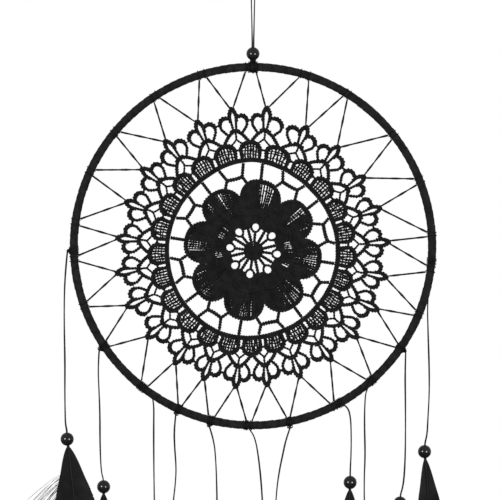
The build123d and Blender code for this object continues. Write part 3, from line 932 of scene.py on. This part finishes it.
# half-width of the vane down its length, as shares
vaneWidths = [(0.0, 0.075), (0.026, 0.10), (0.053, 0.155), (0.10, 0.26), (0.16, 0.385), (0.21, 0.50),
              (0.27, 0.61), (0.40, 0.83), (0.55, 0.98), (0.72, 0.95), (0.88, 0.66), (0.97, 0.26), (1.0, 0.04)]
hairSection = sectionCurve("hairSection", 0.00011, 0.00007, 4)
shaftSection = sectionCurve("shaftSection", 0.001, 0.001, 10)
hairLook = {"step": 0.0016, "twist": 0.5, "stitch": 0.03, "bump": 0.3}


class Feather:
    def __init__(self, number):
        low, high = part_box(f"feather_{number}")
        self.number = number
        self.top = tailRuns[number - 1][-1]
        self.right = high[0] - self.top.x
        self.left = self.top.x - low[0]
        self.drop = featherSet["quill"]
        self.length = self.top.z - low[2] - self.drop
        self.facing = 1 if self.top.y > 0 else -1
        self.lean = featherSet["drifts"].get(number, uneven(featherSet["drift"]))
        self.body = f"tail_{number}"

    def shaft(self, t):
        bowed = featherSet["bow"] * t * t * self.facing
        return Vector((self.top.x + self.lean * sin(pi * 0.75 * (t + featherSet["kink"])), self.top.y + bowed,
                       self.top.z - self.drop - self.length * t))

    def reach(self, t, side):
        share = float(np.interp(t, [a for a, _ in vaneWidths], [b for _, b in vaneWidths]))
        return share * (self.right if side > 0 else self.left)

    def onVane(self, t, across):
        place = self.shaft(t)
        wide = across / featherSet["camberAt"]
        return place + Vector((across, featherSet["camber"] * wide * wide * self.facing, 0))

    def barbPath(self, root, side, fall, trim):
        lean = featherSet["lean"] * (1 - root) ** 0.5 * fall
        end = min(root + lean, 0.998)
        wide = self.reach(end, side) * trim * side
        return lambda s: self.onVane(root + (end - root) * (0.45 * s + 0.55 * s * s), wide * s)

    def buildVane(self):  # barbs lapping like roof tiles, with a few short splits at the edge
        count, segments = featherSet["barbs"], featherSet["segments"]
        bm = bmesh.new()
        for side in (-1, 1):
            splits = []
            for _ in range(featherSet["splits"]):
                splits.append((dice.uniform(0.45, 0.9) * count, dice.uniform(0.004, 0.012)))
            paths = []
            for i in range(count):
                root = 0.001 + 0.99 * i / (count - 1)
                spread = 0
                for place, size in splits:
                    spread += size * (1 if i > place else -1) * np.exp(-abs(i - place) / 5)
                fall = 1 + spread / featherSet["lean"]
                paths.append(self.barbPath(root, side, fall, 1 - abs(dice.gauss(0, 0.012))))
            before = len(bm.verts)
            bmesh.ops.create_grid(bm, x_segments=2 * count - 1, y_segments=segments, size=1)
            bm.verts.ensure_lookup_table()
            strip = bm.verts[before:]
            columns = {vert: round((vert.co.x + 1) / 2 * (2 * count - 1)) for vert in strip}
            gaps = [face for face in bm.faces if all(v in columns for v in face.verts)
                    and min(columns[v] for v in face.verts) % 2]
            pitch = self.length / count
            rootShare, tipShare = featherSet["rootShare"], featherSet["tipShare"]
            for vert in strip:
                barb, edge = divmod(columns[vert], 2)
                s = (vert.co.y + 1) / 2
                here = paths[barb](s)
                ahead = paths[barb](min(s + 0.05, 1)) - paths[barb](max(s - 0.05, 0))
                ahead.y = 0
                normal = Vector((ahead.z, 0, -ahead.x)).normalized() * side
                wide = pitch * (rootShare + (tipShare - rootShare) * s)
                lift = featherSet["louvre"] * (1 if edge else -1)
                vert.co = here + normal * wide * (1 if edge else -1) + Vector((0, lift, 0))
            bmesh.ops.delete(bm, geom=gaps, context="FACES")
        return fromBmesh(bm, f"featherVane{self.number}")

    def buildShaft(self):
        spool = newSpool(f"shaftSpool{self.number}", shaftSection)
        spline = spool.splines.new("POLY")
        stops = 30
        spline.points.add(stops + 1)
        spline.points[0].co = (*self.top, 1)
        spline.points[0].radius = 1.7
        for i in range(stops + 1):
            t = i / stops * 0.985
            spline.points[i + 1].co = (*self.shaft(t), 1)
            spline.points[i + 1].radius = 1.5 * (1 - t) ** 1.6 + 0.25
        return spoolToMesh(spool, f"featherShaft{self.number}")

    def buildDown(self):  # loose downy barbs that stand off the vane's edges
        spool = newSpool(f"downSpool{self.number}", hairSection)
        for i in range(featherSet["wisps"]):
            root, out, fall = dice.uniform(0.3, 0.8), dice.uniform(0.001, 0.003), dice.uniform(0.004, 0.010)
            self.layWisp(spool, -1 if i % 2 else 1, root, out, fall, 1.4)
        strays = featherSet["strays"].get(self.number, 0)
        for i in range(strays):  # a plume swept out to the left, flattest at its top
            share = i / strays
            out = (0.023 - 0.013 * share) * dice.uniform(0.75, 1.05)
            fall = (0.018 + 0.018 * share) * dice.uniform(0.9, 1.1)
            self.layWisp(spool, -1, 0.15 + 0.2 * share + uneven(0.01), out, fall, dice.uniform(1.6, 2.8))
        return spoolToMesh(spool, f"featherDown{self.number}")

    def layWisp(self, spool, side, root, out, fall, size):
        foot = self.onVane(root, self.reach(root, side) * side * 0.9)
        points = []
        for s in (0, 0.25, 0.5, 0.75, 1.0):
            sway = Vector((side * out * s + uneven(0.0003) * s, self.facing * 0.0008 * s, -fall * s ** 1.2))
            points.append(foot + sway)
        layYarn(spool, points, hairLook, False, size)


for number in range(1, tailCount + 1):
    feather = Feather(number)
    vane = feather.buildVane()
    finishPiece(vane, feather.body, barbFinish, "feather_black", f"feather_{number}")
    shaft = feather.buildShaft()
    finishPiece(shaft, feather.body, shaftFinish, "feather_black")
    down = feather.buildDown()
    finishPiece(down, feather.body, barbFinish, "feather_black")
print("feathers")
